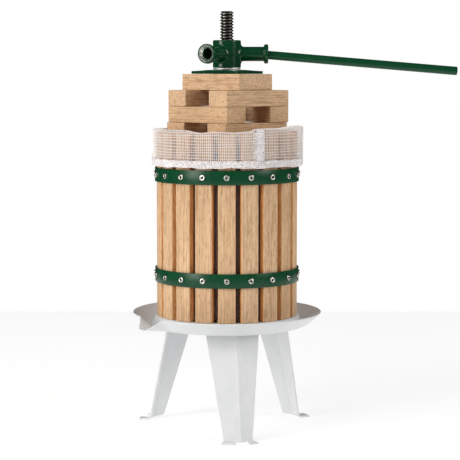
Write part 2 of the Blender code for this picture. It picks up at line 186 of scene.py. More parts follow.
def cut(made, tool_mesh, operation="DIFFERENCE"):
    """Cuts a piece with a closed mesh that stands in the piece's own space."""
    bmesh.ops.recalc_face_normals(tool_mesh, faces=tool_mesh.faces)
    tool = link("tool", to_mesh(tool_mesh, "tool"))
    tool.matrix_world = made.matrix_world
    added = made.modifiers.new("cut", "BOOLEAN")
    added.object = tool
    added.operation = operation
    added.solver = "EXACT"
    bpy.context.view_layer.update()
    depsgraph = bpy.context.evaluated_depsgraph_get()
    result = bpy.data.meshes.new_from_object(made.evaluated_get(depsgraph))
    made.modifiers.clear()
    made.data = result
    bpy.data.objects.remove(tool)


def store(made, name, kind, values):
    """Stores a number or a vector for each vertex of a piece."""
    layer = made.data.attributes.new(name, kind, "POINT")
    field = "value" if kind == "FLOAT" else "vector"
    for entry, value in zip(layer.data, values):
        setattr(entry, field, value)


def ring_faces(bm, rings, closed_ring=True, closed_row=True):
    """Quads between neighbouring rows of vertices."""
    rows = list(zip(rings, rings[1:]))
    if closed_row:
        rows.append((rings[-1], rings[0]))
    count = len(rings[0])
    for a, b in rows:
        for j in range(count if closed_ring else count - 1):
            k = (j + 1) % count
            bm.faces.new((a[j], a[k], b[k], b[j]))


def lathe(outline, sides, closed=False):
    """A solid of revolution from (radius, z) points; closed outlines make rings."""
    bm = bmesh.new()
    if closed:
        rings = [
            [bm.verts.new(polar(360 * i / sides, r, z)) for r, z in outline]
            for i in range(sides)
        ]
        ring_faces(bm, rings)
        return bm
    rings = [
        [bm.verts.new(polar(360 * i / sides, r, z)) for i in range(sides)]
        for r, z in outline
    ]
    ring_faces(bm, rings, closed_row=False)
    bm.faces.new(rings[0])
    bm.faces.new(rings[-1])
    return bm


def box_mesh(size, centre=(0, 0, 0)):
    """A block as a bmesh."""
    bm = bmesh.new()
    bmesh.ops.create_cube(bm, size=1)
    bmesh.ops.scale(bm, vec=size, verts=bm.verts)
    bmesh.ops.translate(bm, vec=centre, verts=bm.verts)
    return bm


def rounded(corners, radius, steps=4):
    """An outline with each corner rounded by an arc-like curve."""
    out = []
    count = len(corners)
    for i in range(count):
        here = Vector(corners[i])
        back = Vector(corners[i - 1]) - here
        ahead = Vector(corners[(i + 1) % count]) - here
        reach = min(radius, back.length / 2.01, ahead.length / 2.01)
        a, b = here + back.normalized() * reach, here + ahead.normalized() * reach
        for k in range(steps + 1):
            t = k / steps
            out.append(tuple(a * (1 - t) ** 2 + here * 2 * t * (1 - t) + b * t * t))
    return out


def strip_section(inner, outer, low, high, radius, steps):
    """A flat ring's section, as (radius, z), with rounded corners."""
    corners = [(inner, low), (outer, low), (outer, high), (inner, high)]
    return rounded(corners, radius, steps)


# ---- material helpers


def new_material(name):
    """A material, its node tree and its Principled shader."""
    made = bpy.data.materials.new(name)
    made.use_nodes = True
    tree = made.node_tree
    return made, tree, tree.nodes["Principled BSDF"]


def feed(tree, made, **inputs):
    """Sets a node's sockets, given by name, to values or to links."""
    for key, value in inputs.items():
        socket = made.inputs[key.replace("_", " ")]
        if isinstance(value, bpy.types.NodeSocket):
            tree.links.new(value, socket)
        else:
            socket.default_value = value


def node(tree, kind, settings=None, **inputs):
    """Adds a shader node with its settings and its sockets."""
    made = tree.nodes.new("ShaderNode" + kind)
    for key, value in (settings or {}).items():
        setattr(made, key, value)
    feed(tree, made, **inputs)
    return made


def stored(tree, name, output="Fac"):
    """What a piece stores for each vertex."""
    return node(tree, "Attribute", {"attribute_name": name}).outputs[output]


def ramp(tree, factor, *stops):
    """A colour ramp from (place, value or colour) stops."""
    made = tree.nodes.new("ShaderNodeValToRGB")
    elements = made.color_ramp.elements
    while len(elements) < len(stops):
        elements.new(0.5)
    for element, (place, colour) in zip(elements, stops):
        element.position = place
        if not hasattr(colour, "__len__"):
            colour = (colour, colour, colour)
        element.color = (*colour, 1)
    tree.links.new(factor, made.inputs["Fac"])
    return made.outputs["Color"]


def mix(tree, kind, factor, a, b):
    """Mixes two colours."""
    made = node(tree, "Mix", {"data_type": "RGBA", "blend_type": kind})
    for socket, value in ((made.inputs[0], factor), (made.inputs[6], a), (made.inputs[7], b)):
        if isinstance(value, bpy.types.NodeSocket):
            tree.links.new(value, socket)
        elif socket.type == "RGBA" and len(value) == 3:
            socket.default_value = (*value, 1)
        else:
            socket.default_value = value
    return made.outputs[2]


def stretched_noise(tree, vector, scale, detail=3.0, rough=0.55, distort=0.0):
    """Noise whose grain is stretched by a scale for each axis, in waves per metre."""
    mapped = node(tree, "Mapping", Vector=vector, Scale=scale).outputs[0]
    made = node(
        tree, "TexNoise", Vector=mapped, Scale=1.0, Detail=detail, Roughness=rough,
        Distortion=distort,
    )
    return made.outputs["Fac"]


def cloud(tree, scale, detail):
    """Even noise in a piece's own space, in waves per metre."""
    place = node(tree, "TexCoord").outputs["Object"]
    return stretched_noise(tree, place, (scale, scale, scale), detail)


def spread(tree, value, low, high):
    """Maps 0 to 1 onto a range."""
    return node(tree, "MapRange", Value=value, To_Min=low, To_Max=high).outputs[0]


def bump(tree, height, strength, distance, normal=None):
    """A bump node over an optional earlier one."""
    made = node(tree, "Bump", Height=height, Strength=strength, Distance=distance)
    if normal is not None:
        tree.links.new(normal, made.inputs["Normal"])
    return made.outputs[0]


# ---- materials


def beech(name, sides=False):
    """Steamed beech: pinkish tan, faint rings, long streaks and short dark flecks.

    With sides, painted bounce light makes a stave's side faces deeper and warmer than its front.
    """
    made, tree, shader = new_material(name)
    grain = stored(tree, "grain", "Vector")
    along = node(tree, "Mapping", Vector=grain, Scale=(1, 1, 0.035)).outputs[0]
    rings = node(
        tree, "TexWave",
        {"wave_type": "RINGS", "rings_direction": "Z", "wave_profile": "SAW"},
        Vector=along, Scale=72.0, Distortion=2.6, Detail=2.0, Detail_Scale=35.0,
    ).outputs["Fac"]
    streaks = stretched_noise(tree, grain, (330, 330, 16), 4, 0.62, 0.3)
    specks = stretched_noise(tree, grain, (420, 420, 70), 3, 0.6, 0.4)
    flecks = stretched_noise(tree, grain, (1500, 1500, 190), 2, 0.5)
    broad = stretched_noise(tree, grain, (38, 38, 6), 2, 0.5, 0.5)
    warm = ramp(tree, broad, (0.36, (0.72, 0.468, 0.266)), (0.64, (0.605, 0.38, 0.20)))
    colour = mix(tree, "MIX", stored(tree, "tone"), warm, (0.76, 0.53, 0.335))
    layers = (
        (0.7, rings, (0.0, (0.78, 0.71, 0.64)), (0.3, 1.0), (0.8, 1.0), (1.0, 0.88)),
        (0.85, streaks, (0.34, (0.70, 0.63, 0.56)), (0.5, 0.97), (0.66, (1.1, 1.09, 1.08))),
        (0.7, specks, (0.36, (0.67, 0.59, 0.51)), (0.47, 1.0), (0.66, 1.10)),
        (0.5, flecks, (0.30, (0.55, 0.42, 0.33)), (0.42, 1.0)),
    )
    for strength, pattern, *stops in layers:
        colour = mix(tree, "MULTIPLY", strength, colour, ramp(tree, pattern, *stops))
    # Painted bounce light: side faces get a deeper, warmer tint, standing in for light bounced
    # between neighbouring staves.
    if sides:
        normal = node(tree, "TexCoord").outputs["Normal"]
        front = node(tree, "SeparateXYZ", Vector=normal).outputs["Y"]
        either = node(tree, "Math", {"operation": "ABSOLUTE"}, Value=front).outputs[0]
        painted_bounce = ramp(tree, either, (0.12, 1.0), (0.5, 0.0))
        colour = mix(tree, "MULTIPLY", painted_bounce, colour, (1.25, 1.02, 0.70))
    relief = bump(tree, streaks, 0.25, 0.15 * MM)
    relief = bump(tree, flecks, 0.2, 0.1 * MM, relief)
    rough = spread(tree, streaks, 0.72, 0.5)
    feed(tree, shader, Base_Color=colour, Roughness=rough, Normal=relief)
    return made


def enamel(name, colour, dark, rough, peel, lumps, coat=0.0, shine=0.5):
    """Stoved enamel: even colour, a slight orange peel and softer lumps under it."""
    made, tree, shader = new_material(name)
    fine = cloud(tree, 420, 2)
    wide = cloud(tree, 60, 3)
    relief = bump(tree, wide, lumps, 0.6 * MM)
    relief = bump(tree, fine, peel, 0.15 * MM, relief)
    feed(
        tree, shader, Base_Color=ramp(tree, wide, (0.3, dark), (0.65, colour)),
        Roughness=spread(tree, wide, rough * 0.8, rough * 1.35), Normal=relief,
        Specular_IOR_Level=shine, Coat_Weight=coat, Coat_Roughness=0.06,
    )
    return made


def metal(name, colour, dark, rough, scale=300):
    """Plated or rolled steel with small tone changes."""
    made, tree, shader = new_material(name)
    stain = cloud(tree, scale, 4)
    feed(
        tree, shader, Base_Color=ramp(tree, stain, (0.3, dark), (0.7, colour)), Metallic=1.0,
        Roughness=spread(tree, stain, rough * 1.4, rough * 0.8),
        Normal=bump(tree, stain, 0.15, 0.1 * MM),
    )
    return made


def thread_steel():
    """Oiled black screw, darker at the roots and lighter on the crests."""
    made, tree, shader = new_material("thread_steel")
    stain = cloud(tree, 260, 4)
    dark = ramp(tree, stain, (0.3, (0.012, 0.010, 0.008)), (0.7, (0.035, 0.030, 0.025)))
    bright = ramp(tree, stain, (0.3, (0.13, 0.12, 0.108)), (0.7, (0.36, 0.34, 0.31)))
    crest_blend = ramp(tree, stored(tree, "crest"), (0.55, 0.0), (1.0, 1.0))
    feed(
        tree, shader, Base_Color=mix(tree, "MIX", crest_blend, dark, bright), Metallic=0.85,
        Roughness=spread(tree, stain, 0.42, 0.24), Normal=bump(tree, stain, 0.2, 0.1 * MM),
    )
    return made


def yarn(name, weave=0.0):
    """White polyester yarn, with painted shade on the lining threads; a weave adds slanting ribs
    and small holes darkened with painted shade for the bands.
    """
    made, tree, shader = new_material(name)
    fuzz = cloud(tree, 1600, 2)
    wide = cloud(tree, 45, 2)
    colour = ramp(tree, wide, (0.3, (0.84, 0.785, 0.76)), (0.7, (0.92, 0.885, 0.87)))
    # Painted shade: lining threads are multiplied towards dark brown, standing in for the shadow
    # between the staves.
    colour = mix(tree, "MULTIPLY", stored(tree, "painted_lining_shade"), colour, (0.30, 0.215, 0.165))
    height = fuzz
    if weave:
        flat = stored(tree, "band", "Vector")
        ribs = node(
            tree, "TexWave", {"wave_type": "BANDS", "bands_direction": "DIAGONAL"},
            Vector=flat, Scale=260.0, Distortion=1.2, Detail=1.0, Detail_Scale=200.0,
        ).outputs["Fac"]
        # Painted shade: the weave's small holes are darkened towards grey, as if shadowed.
        eye_shade = node(
            tree, "TexVoronoi", {"feature": "F1"}, Vector=flat, Scale=340.0, Randomness=0.45,
        ).outputs["Distance"]
        for pattern, *stops in (
            (ribs, (0.1, (0.80, 0.80, 0.84)), (0.5, 1.0)),
            (eye_shade, (0.24, (0.36, 0.33, 0.36)), (0.46, 1.0)),
        ):
            colour = mix(tree, "MULTIPLY", weave, colour, ramp(tree, pattern, *stops))
        height = mix(tree, "MIX", 0.3, ribs, fuzz)
    feed(
        tree, shader, Base_Color=colour, Roughness=0.85, Sheen_Weight=0.35,
        Normal=bump(tree, height, 0.5, 0.3 * MM),
    )
    return made


BEECH = beech("beech")
STAVE_BEECH_PAINTED_BOUNCE = beech("stave_beech_painted_bounce", sides=True)
GREEN = enamel(
    "green_enamel", (0.0030, 0.060, 0.0215), (0.0018, 0.050, 0.017),
    rough=0.26, peel=0.05, lumps=0.05, shine=0.3,
)
GREEN_CAST = enamel(
    "green_cast", (0.0028, 0.054, 0.0190), (0.0014, 0.040, 0.013),
    rough=0.17, peel=0.25, lumps=0.45, coat=0.3, shine=0.25,
)
WHITE = enamel(
    "white_enamel", (0.71, 0.717, 0.724), (0.67, 0.68, 0.69),
    rough=0.33, peel=0.12, lumps=0.04,
)
MACHINED = metal("machined_iron", (0.82, 0.86, 0.80), (0.62, 0.67, 0.61), 0.32, 500)
ZINC = metal("zinc", (0.80, 0.78, 0.74), (0.55, 0.53, 0.49), 0.2)
SATIN = metal("satin_washer", (0.90, 0.90, 0.87), (0.80, 0.80, 0.77), 0.52, 500)
BLACKED = metal("blacked_steel", (0.10, 0.095, 0.085), (0.04, 0.037, 0.033), 0.35)
THREAD = thread_steel()
YARN = yarn("net_yarn")
BAND = yarn("hem_weave", 0.8)


def wood(made, lengthwise, tone, pith=None, material=BEECH):
    """Stores where each vertex lies in the tree the piece was cut from."""
    axes = {"Z": (0, 1, 2), "X": (1, 2, 0), "Y": (0, 2, 1)}[lengthwise]
    if pith is None:
        pith = (chance.uniform(0.03, 0.11) * chance.choice((-1, 1)), chance.uniform(0.02, 0.09))
    shift = (*pith, chance.uniform(0, 40))
    corners = [vert.co for vert in made.data.vertices]
    store(made, "grain", "FLOAT_VECTOR",
          [tuple(co[k] + moved for k, moved in zip(axes, shift)) for co in corners])
    store(made, "tone", "FLOAT", [tone] * len(corners))
    paint(made, material)


# ---- camera and light

CAMERA_BACK = 2.92
CAMERA_Z = 0.6164
CAMERA_RIGHT = 5.3 * MM
CAMERA_PITCH = 5.38
CAMERA_LENS = 133.0
FLOOR_HALF = 1.4
FLOOR_DROP = 0.4 * MM
FLOOR_GLOW = 0.62
LIGHT_AIM_Z = 0.35


def build_camera():
    """A long lens in front of the press, looking slightly down."""
    data = bpy.data.cameras.new("camera")
    data.lens = CAMERA_LENS
    data.sensor_width = 36
    data.clip_end = 50
    camera = link("camera", data)
    camera.location = AXIS + Vector((CAMERA_RIGHT, -CAMERA_BACK, CAMERA_Z))
    camera.rotation_euler = (radians(90 - CAMERA_PITCH), 0, 0)
    bpy.context.scene.camera = camera


def build_floor():
    """A pale floor with a glow of its own, so that it reads nearly as white as the world."""
    bm = bmesh.new()
    bmesh.ops.create_grid(bm, x_segments=1, y_segments=1, size=FLOOR_HALF)
    floor = link("floor", to_mesh(bm, "floor"))
    floor.location.z = -FLOOR_DROP
    material, tree, shader = new_material("floor")
    feed(
        tree, shader, Base_Color=ramp(tree, cloud(tree, 3, 2), (0.3, 0.44), (0.7, 0.46)),
        Roughness=0.9, Specular_IOR_Level=0.1, Emission_Color=(1, 1, 1, 1),
        Emission_Strength=FLOOR_GLOW,
    )
    paint(floor, material)


def build_stage():
    """The camera, the floor, a soft key from the left, a weaker fill and a top light."""
    build_camera()
    build_floor()
    build_world()
    add_light("key", -54, 3.2, 1.25, (1.3, 2.4), 65, (1.0, 0.985, 0.96))
    add_light("fill", 62, 3.1, 1.6, (1.2, 1.6), 36, (1.0, 0.99, 0.97))
    add_light("top", -30, 2.4, 2.6, (1.2, 1.2), 20, (1.0, 1.0, 1.0))
    bpy.context.scene.view_settings.view_transform = "Standard"


def build_world():
    """White to the camera; it lights the press from behind, and mirrors see it dim."""
    world = bpy.data.worlds.new("studio")
    world.use_nodes = True
    tree = world.node_tree
    way = node(tree, "TexCoord").outputs["Generated"]
    back = node(tree, "SeparateXYZ", Vector=way).outputs["Y"]
    depth = node(tree, "MapRange", Value=back, From_Min=-1.0, From_Max=1.0).outputs[0]
    lit = ramp(tree, depth, (0.30, 0.18), (0.62, 0.75))
    mirrored = ramp(tree, depth, (0.25, 0.11), (0.55, 0.03))
    path = node(tree, "LightPath")
    lit = mix(tree, "MIX", path.outputs["Is Glossy Ray"], lit, mirrored)
    seen = mix(tree, "MIX", path.outputs["Is Camera Ray"], lit, (1.0, 1.0, 1.0))
    tree.links.new(seen, tree.nodes["Background"].inputs["Color"])
    bpy.context.scene.world = world


def add_light(name, azimuth, distance, height, size, power, colour):
    """A soft box that faces the middle of the press."""
    data = bpy.data.lights.new(name, "AREA")
    data.shape = "RECTANGLE"
    data.size, data.size_y = size
    data.energy = power
    data.color = colour
    lamp = link(name, data)
    lamp.location = polar(azimuth, distance, height)
    aim = Vector((0, 0, LIGHT_AIM_Z)) - lamp.location
    lamp.rotation_euler = aim.to_track_quat("-Z", "Y").to_euler()


# ---- tray

TRAY_SHEET = 2 * MM
TRAY_HOLE_GAP = 1.5 * MM
TRAY_RIM_R = 162.4 * MM
PLATFORM_R = 123.5 * MM
CHANNEL_R = 129 * MM
CHANNEL_TOP = 179.5 * MM
SPOUT_AZ = -57.0
SPOUT_FLAT = 2.0
SPOUT_RISE = {-1: 6.0, 1: 16.0}
SPOUT_R = 171.5 * MM
SPOUT_Z = 181.5 * MM


def spout_share(azimuth):
    """0 away from the spout and 1 across its mouth."""
    side = 1 if azimuth > SPOUT_AZ else -1
    return 1 - smooth_step((abs(azimuth - SPOUT_AZ) - SPOUT_FLAT) / SPOUT_RISE[side])


def tray_section(azimuth):
    """The sheet's middle surface from the screw hole to the rim, as (radius, z)."""
    share = spout_share(azimuth)
    half = TRAY_SHEET / 2
    top, floor = PLATFORM_TOP - half, CHANNEL_TOP - half
    rim_r = TRAY_RIM_R + share * (SPOUT_R - TRAY_RIM_R)
    rim_z = RIM_Z + 0.3 * MM - half
    rim_z += share * (SPOUT_Z - rim_z)
    points = [(SCREW_R + TRAY_HOLE_GAP, top), (60 * MM, top), (110 * MM, top)]
    for i in range(9):
        t = i / 8
        r = PLATFORM_R - 2 * MM + t * (CHANNEL_R + 2.5 * MM - PLATFORM_R)
        points.append((r, top + (floor - top) * smooth_step(t)))
    start = CHANNEL_R + 3 * MM
    for i in range(13):
        t = i / 12
        points.append((start + (rim_r - start) * t, floor + (rim_z - floor) * t**1.35))
    return points


def build_tray():
    """The pressed tray, with a softened rim."""
    fine = [SPOUT_AZ + 0.6 * i for i in range(-16, 34)]
    clear = 360 - (fine[-1] - fine[0])
    steps = 150
    azimuths = fine + [fine[-1] + clear * i / steps for i in range(1, steps)]
    bm = bmesh.new()
    rings = []
    for azimuth in azimuths:
        wrapped = azimuth if azimuth < 180 else azimuth - 360
        section = tray_section(wrapped)
        rings.append([bm.verts.new(polar(azimuth, r, z)) for r, z in section])
    ring_faces(bm, rings, closed_ring=False)
    tray = piece("tray_enamelled", bm, "stand", ["tray"], sharp=60)
    solidify(tray, TRAY_SHEET)
    bevel(tray, 0.8 * MM, 2, 60)
    paint(tray, WHITE)


# ---- legs

LEG_AZIMUTHS = {"front_leg": 9.2, "rear_left_leg": -115.5, "rear_right_leg": 127.0}
LEG_SHEET = 3 * MM
LEG_FOLD = radians(15)
LEG_RIDGE_FOOT = 147 * MM
LEG_RIDGE_TOP = 101 * MM
LEG_TOP_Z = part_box("front_leg")[1].z - LEG_SHEET / 2
LEG_HALF_FOOT = {-1: 27.5 * MM, 1: 20 * MM}
LEG_HALF_TOP = {-1: 52.8 * MM, 1: 40.5 * MM}
LEG_NOTCH = 11 * MM
FOOT_REACH = 20 * MM
FOOT_SPREAD = 7.5 * MM
LEG_BEAD = 0.9 * MM
FLANGE_REACH = 24 * MM
RIDGE_SOFT = 1.2 * MM
BEAD_REACH = 3.4 * MM
# Shares of the way from the notch to the edge, and of the way from the ridge to the notch.
LEG_COLUMNS = (1.0, 0.4, 0.0)
NOTCH_COLUMNS = (0.8, 0.55, 0.3, 0.12)
FOOT_BEND = 4 * MM
TONGUE_Z = 1.2 * MM


def leg_ridge(z):
    """The ridge's distance from the screw's axis at a height."""
    return LEG_RIDGE_FOOT + (LEG_RIDGE_TOP - LEG_RIDGE_FOOT) * z / LEG_TOP_Z


def leg_half(side, z):
    """The half width of one side at a height."""
    foot, top = LEG_HALF_FOOT[side], LEG_HALF_TOP[side]
    return foot + (top - foot) * z / LEG_TOP_Z


def build_leg(name, azimuth):
    """A folded sheet leg with rounded ridge, bent foot tabs and tabs under the tray."""
    mid = LEG_SHEET / 2
    bend = FOOT_BEND
    # Rows across each side, as (shift outwards, height, widening).
    foot_rows = [(FOOT_REACH, mid, FOOT_SPREAD), (FOOT_REACH / 2, mid, FOOT_SPREAD * 0.45)]
    for i, (s, c) in enumerate(quarter(5)):
        foot_rows.append((bend * (1 - s), mid + bend * c, 0.8 * MM * (1 - i / 5)))
    body_z = [mid + bend + (LEG_TOP_Z - 2 * bend - mid) * i / 8 for i in range(1, 8)]
    top_rows = [(-bend * c, LEG_TOP_Z - bend * (1 - s), 0) for s, c in quarter(5)]
    top_rows += [(-FLANGE_REACH / 2, LEG_TOP_Z, 0), (-FLANGE_REACH, LEG_TOP_Z, 0)]
    bm = bmesh.new()

    def at(side, t, shift, z):
        slope = (hypot(t, RIDGE_SOFT) - RIDGE_SOFT) * tan(LEG_FOLD)
        shift += LEG_BEAD * smooth_step(1 - t / BEAD_REACH)
        return bm.verts.new((side * t, -(leg_ridge(z) + shift - slope), z))

    def across(side, shift, z, spread_out):
        half = leg_half(side, z) + spread_out
        return [at(side, LEG_NOTCH + (half - LEG_NOTCH) * c, shift, z) for c in LEG_COLUMNS]

    ridge = {}
    for side in (-1, 1):
        rows = [across(side, *row) for row in foot_rows]
        first_body = len(rows) - 1
        rows += [across(side, 0, z, 0) for z in body_z]
        last_body = len(rows)
        rows += [across(side, *row) for row in top_rows]
        ring_faces(bm, rows, closed_ring=False, closed_row=False)
        inner_rows = []
        for index in range(first_body, last_body + 1):
            edge = rows[index][-1]
            z = TONGUE_Z if index == first_body else edge.co.z
            row = [edge] + [at(side, LEG_NOTCH * share, 0, z) for share in NOTCH_COLUMNS]
            if index not in ridge:
                ridge[index] = at(1, 0.0, 0, z)
            inner_rows.append(row + [ridge[index]])
        ring_faces(bm, inner_rows, closed_ring=False, closed_row=False)
    leg = piece(name + "_folded", bm, "stand", [name], sharp=40,
                turn=radians(azimuth))
    solidify(leg, LEG_SHEET)
    bevel(leg, 0.5 * MM, 2, 50)
    paint(leg, WHITE)


# ---- basket


HOOP_SIDES = 228
# The lap reaches this many degrees to each side of the rear, and rises over the next value.
HOOP_LAP = 9.4
HOOP_LAP_RISE = 0.8
RIVET_R = 4.9 * MM
RIVET_H = 2.6 * MM
RIVET_EYE = 1.9 * MM
RIVET_ROOT = -1.2 * MM
RIVET_SIDES = 20


def build_staves():
    """Planed staves with broken edges, each cut from its own place in the tree, with painted
    bounce light on their sides.
    """
    for k in range(STAVES):
        node_name = f"stave_{k + 1:02d}"
        width = STAVE_W - chance.uniform(0, 0.5) * MM
        height = STAVE_HIGH.z - STAVE_LOW.z
        centre = (0, STAVE_T / 2 - STAVE_OUT, (STAVE_HIGH.z + STAVE_LOW.z) / 2)
        bm = box_mesh((width, STAVE_T, height), centre)
        made = piece(node_name + "_wood", bm, "basket", [node_name],
                     turn=radians(360 * k / STAVES))
        wood(made, "Z", chance.uniform(0.0, 0.55), material=STAVE_BEECH_PAINTED_BOUNCE)
        bevel(made, 1.7 * MM, 4)


def build_hoop(name):
    """A strip hoop whose ends lap at the rear, and its rivets."""
    low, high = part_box(name)
    bm = bmesh.new()
    rings = []
    for i in range(HOOP_SIDES):
        azimuth = 360 * i / HOOP_SIDES
        lap = smooth_step((HOOP_LAP - abs(azimuth - 180)) / HOOP_LAP_RISE)
        section = strip_section(
            HOOP_OUT - HOOP_T, HOOP_OUT + lap * HOOP_T, low.z, high.z, 0.7 * MM, 2
        )
        rings.append([bm.verts.new(polar(azimuth, r, z)) for r, z in section])
    ring_faces(bm, rings)
    made = piece(name + "_strip", bm, "basket", [name], sharp=50)
    paint(made, GREEN)
    build_rivets(name, (low.z + high.z) / 2)


def build_rivets(hoop, z):
    """Tubular rivets: a domed ring rolled round a hollow, one on each stave."""
    outline = [(RIVET_EYE * 0.9, RIVET_ROOT), (RIVET_EYE, RIVET_H * 0.55)]
    mid_r, half = (RIVET_EYE + RIVET_R) / 2, (RIVET_R - RIVET_EYE) / 2
    for i in range(9):
        a = pi * 0.83 * i / 8
        outline.append((mid_r - half * cos(a), RIVET_H * (0.62 + 0.38 * sin(a))))
    outline += [(RIVET_R, RIVET_H * 0.45), (RIVET_R * 0.98, 0.0), (RIVET_R * 0.9, -0.4 * MM)]
    outline.append((RIVET_EYE * 1.5, RIVET_ROOT))
    bm = bmesh.new()
    for k in range(STAVES):
        azimuth = 360 * k / STAVES
        lap = HOOP_T if abs(azimuth - 180) < HOOP_LAP else 0.0
        out, side = facing(azimuth)
        base = out * (HOOP_OUT + lap - 0.05 * MM) + Vector((0, 0, z))
        tip = chance.uniform(-0.08, 0.08)
        rings = []
        for i in range(RIVET_SIDES):
            a = 2 * pi * i / RIVET_SIDES
            around = side * cos(a) + Vector((0, 0, 1)) * sin(a)
            rings.append([
                bm.verts.new(base + around * r + out * (h + tip * r * sin(a)))
                for r, h in outline
            ])
        ring_faces(bm, rings)
    made = piece(hoop.replace("hoop", "rivets"), bm, "basket", sharp=50)
    paint(made, ZINC)


# ---- net bag

LINING_R = 107.1 * MM
FLAP_R = 127.7 * MM
BAG_FLOOR = PLATFORM_TOP + 4.5 * MM
HEM_TOP = 467 * MM
HEM_END = 454.6 * MM
FOLD_Z = 514.6 * MM
MESH_WIDE = 236
MESH_TALL = 4.7 * MM
THREAD_W = 1.1 * MM
THREAD_T = 0.75 * MM
HOLE_R = 26 * MM
FLOOR_TURN = 6 * MM
FOLD_TURN = 3 * MM
FOLD_RISE = 4 * MM
FLOOR_POINTS = 7
SEAM_AZ = 26.3
SEAM_W = 13 * MM
SEAM_ENDS = 26
SEAM_COLUMNS = 9
# The seam starts at this point of the meridian, near the top of the wall.
SEAM_START = 19
HEM_RIBS = 290
HEM_SIDES = 1200
# How far the fold stands above its mean height round the rim: (azimuth, millimetres).
FOLD_WAVES = [
    (-180, 1.0), (-130, 0.0), (-90, 1.8), (-62, 1.2), (-38, 1.6), (-23, -2.6), (-10, -0.6),
    (6, -1.6), (18, -0.4), (25, 3.2), (36, 4.6), (48, 4.0), (62, 6.0), (86, 6.4), (120, 2.0),
    (150, -0.5), (180, 1.0),
]


def along_waves(azimuth):
    """The fold's height above its mean, in metres, read smoothly from its waves."""
    azimuth = (azimuth + 180) % 360 - 180
    for (a, low), (b, high) in zip(FOLD_WAVES, FOLD_WAVES[1:]):
        if azimuth <= b:
            return (low + (high - low) * smooth_step((azimuth - a) / (b - a))) * MM
    return 0.0


def ripple(azimuth, drop):
    """How far the flap stands out, growing towards the hem, in metres."""
    a = radians(azimuth)
    wave = sin(7 * a + 0.6) + 0.7 * sin(11 * a + 2.1) + 0.5 * sin(19 * a)
    bulge = 3.6 * MM * smooth_step(1 - abs((azimuth + 180) % 360 - 180 - 82) / 42)
    return wave * (0.25 + 0.55 * drop) * MM + bulge


def meridian(azimuth):
    """The bag's middle surface from its floor hole to the hem, as (radius, z)."""
    lift = along_waves(azimuth)
    corner_r = LINING_R - FLOOR_TURN
    points = [
        (HOLE_R + (corner_r - HOLE_R) * i / (FLOOR_POINTS - 1), BAG_FLOOR)
        for i in range(FLOOR_POINTS)
    ]
    for s, c in quarter(4, 1):
        points.append((LINING_R - FLOOR_TURN * (1 - s), BAG_FLOOR + FLOOR_TURN * c))
    wall_end = FOLD_Z - FOLD_RISE
    start = points[-1][1]
    points += [(LINING_R, start + (wall_end - start) * i / 10) for i in range(1, 11)]
    for s, c in quarter(4, 1):
        points.append((LINING_R + FOLD_TURN * c, wall_end + (FOLD_RISE + lift) * s))
    top = FOLD_Z + lift
    out = FLAP_R + ripple(azimuth, 0.0)
    points.append(((LINING_R + out) / 2, top + 0.4 * MM))
    points += [(out - FOLD_TURN * (1 - s), top - FOLD_RISE * c) for s, c in quarter(4)]
    drop_from = top - FOLD_RISE
    for i in range(1, 8):
        t = i / 7
        z = drop_from + (HEM_TOP - 1 * MM - drop_from) * t
        points.append((FLAP_R + ripple(azimuth, t), z))
    return points


def thread_mesh(name, wide, thin, *groups):
    """Diamond-section threads, from groups of lines and whether the lines are closed.

    A line is its points, with a width vector and a thickness vector for each.
    """
    verts, faces = [], []
    for lines, closed in groups:
        for points, wides, thins in lines:
            base = len(verts)
            for p, w, t in zip(points, wides, thins):
                verts += [p + w * wide, p + t * thin, p - w * wide, p - t * thin]
            n = len(points)
            for i in range(n if closed else n - 1):
                a, b = base + 4 * i, base + 4 * ((i + 1) % n)
                for k in range(4):
                    m = (k + 1) % 4
                    faces.append((a + k, a + m, b + m, b + k))
            if not closed:
                faces.append((base + 3, base + 2, base + 1, base))
                last = base + 4 * (n - 1)
                faces.append((last, last + 1, last + 2, last + 3))
    mesh = bpy.data.meshes.new(name)
    mesh.from_pydata(verts, [], faces)
    return mesh


def upright_threads():
    """Threads that run up the wall and down to the hem, one in four from the floor hole."""
    lines = []
    for i in range(MESH_WIDE):
        azimuth = 360 * i / MESH_WIDE
        section = meridian(azimuth + 0.35 * sin(i * 1.7))
        if i % 4:
            section = section[FLOOR_POINTS:]
        out, side = facing(azimuth)
        points = [out * r + Vector((0, 0, z)) for r, z in section]
        thins = []
        for j in range(len(points)):
            run = points[min(j + 1, len(points) - 1)] - points[max(j - 1, 0)]
            thins.append(run.cross(side).normalized())
        lines.append((points, [side] * len(points), thins))
    return lines


def cloth_lengths(section):
    """How far each point of a section lies along the cloth."""
    lengths = [0.0]
    for (r0, z0), (r1, z1) in zip(section, section[1:]):
        lengths.append(lengths[-1] + hypot(r1 - r0, z1 - z0))
    return lengths


def ring_threads():
    """Threads that run round the bag, evenly spaced along its cloth."""
    sides = MESH_WIDE // 2
    azimuths = [360 * i / sides for i in range(sides)]
    sections = [meridian(azimuth) for azimuth in azimuths]
    measured = [cloth_lengths(section) for section in sections]
    count = round(measured[0][-1] / MESH_TALL)
    lines = []
    for k in range(1, count):
        points, wides, thins = [], [], []
        for azimuth, section, lengths in zip(azimuths, sections, measured):
            out, side = facing(azimuth)
            target = lengths[-1] * (k + 0.12 * sin(5 * radians(azimuth) + k)) / count
            j = min(max(1, np.searchsorted(lengths, target)), len(section) - 1)
            (r0, z0), (r1, z1) = section[j - 1], section[j]
            t = (target - lengths[j - 1]) / max(lengths[j] - lengths[j - 1], 1e-9)
            points.append(out * (r0 + (r1 - r0) * t) + Vector((0, 0, z0 + (z1 - z0) * t)))
            run = (out * (r1 - r0) + Vector((0, 0, z1 - z0))).normalized()
            wides.append(run)
            thins.append(run.cross(side).normalized())
        lines.append((points, wides, thins))
    return lines


